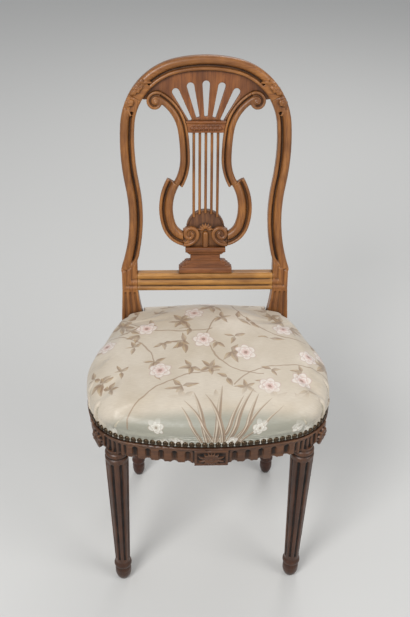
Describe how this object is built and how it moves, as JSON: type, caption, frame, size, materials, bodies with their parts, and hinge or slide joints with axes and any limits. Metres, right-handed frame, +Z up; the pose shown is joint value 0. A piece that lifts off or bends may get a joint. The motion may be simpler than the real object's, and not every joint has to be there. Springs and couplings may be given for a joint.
{
  "type": "lyre back side chair",
  "caption": "Carved wooden side chair with a strung lyre in its arched, raked back, an overstuffed nailed seat and turned, fluted legs.",
  "frame": {"origin": "on the floor, at the middle of the chair's bounding box", "axes": "+Z up, -Y towards the chair's front, +X to the right of someone who looks at the chair's front from -Y towards +Y"},
  "size_m": [0.4658, 0.4852, 0.9522],
  "materials": {
    "carved_wood": "waxed and worn carved beech, honey brown with dark recesses",
    "block_wood": "bare planed beech",
    "screw_steel": "dull steel",
    "webbing": "woven jute",
    "hessian": "coarse plain weave",
    "stuffing": "curled hair under calico",
    "cover_silk": "ivory silk satin with a faded flower pattern",
    "nail_bronze": "dark antique bronze"
  },
  "bodies": {
    "root": {"crest_rail": "carved_wood", "back_post_right": "carved_wood", "back_post_left": "carved_wood", "lower_back_rail": "carved_wood", "lyre_fan": "carved_wood", "lyre_arm_right": "carved_wood", "lyre_arm_left": "carved_wood", "lyre_bowl_right": "carved_wood", "lyre_bowl_left": "carved_wood", "lyre_yoke": "carved_wood", "lyre_soundboard": "carved_wood", "lyre_volute_block": "carved_wood", "lyre_pedestal": "carved_wood", "front_leg_right": "carved_wood", "front_leg_left": "carved_wood", "front_seat_rail": "carved_wood", "side_seat_rail_right": "carved_wood", "side_seat_rail_left": "carved_wood", "rear_seat_rail": "carved_wood", "lyre_string_1": "carved_wood", "lyre_string_2": "carved_wood", "lyre_string_3": "carved_wood", "lyre_string_4": "carved_wood", "lyre_string_5": "carved_wood", "corner_block_front_right": "block_wood", "corner_block_front_left": "block_wood", "corner_block_rear_right": "block_wood", "corner_block_rear_left": "block_wood", "joint_pegs": "block_wood", "lyre_dowels": "block_wood", "corner_block_screws": "screw_steel", "webbing_crosswise": "webbing", "webbing_lengthwise": "webbing", "hessian": "hessian", "seat_stuffing": "stuffing", "seat_cover": "cover_silk", "upholstery_nails": "nail_bronze"}
  },
  "joints": []
}
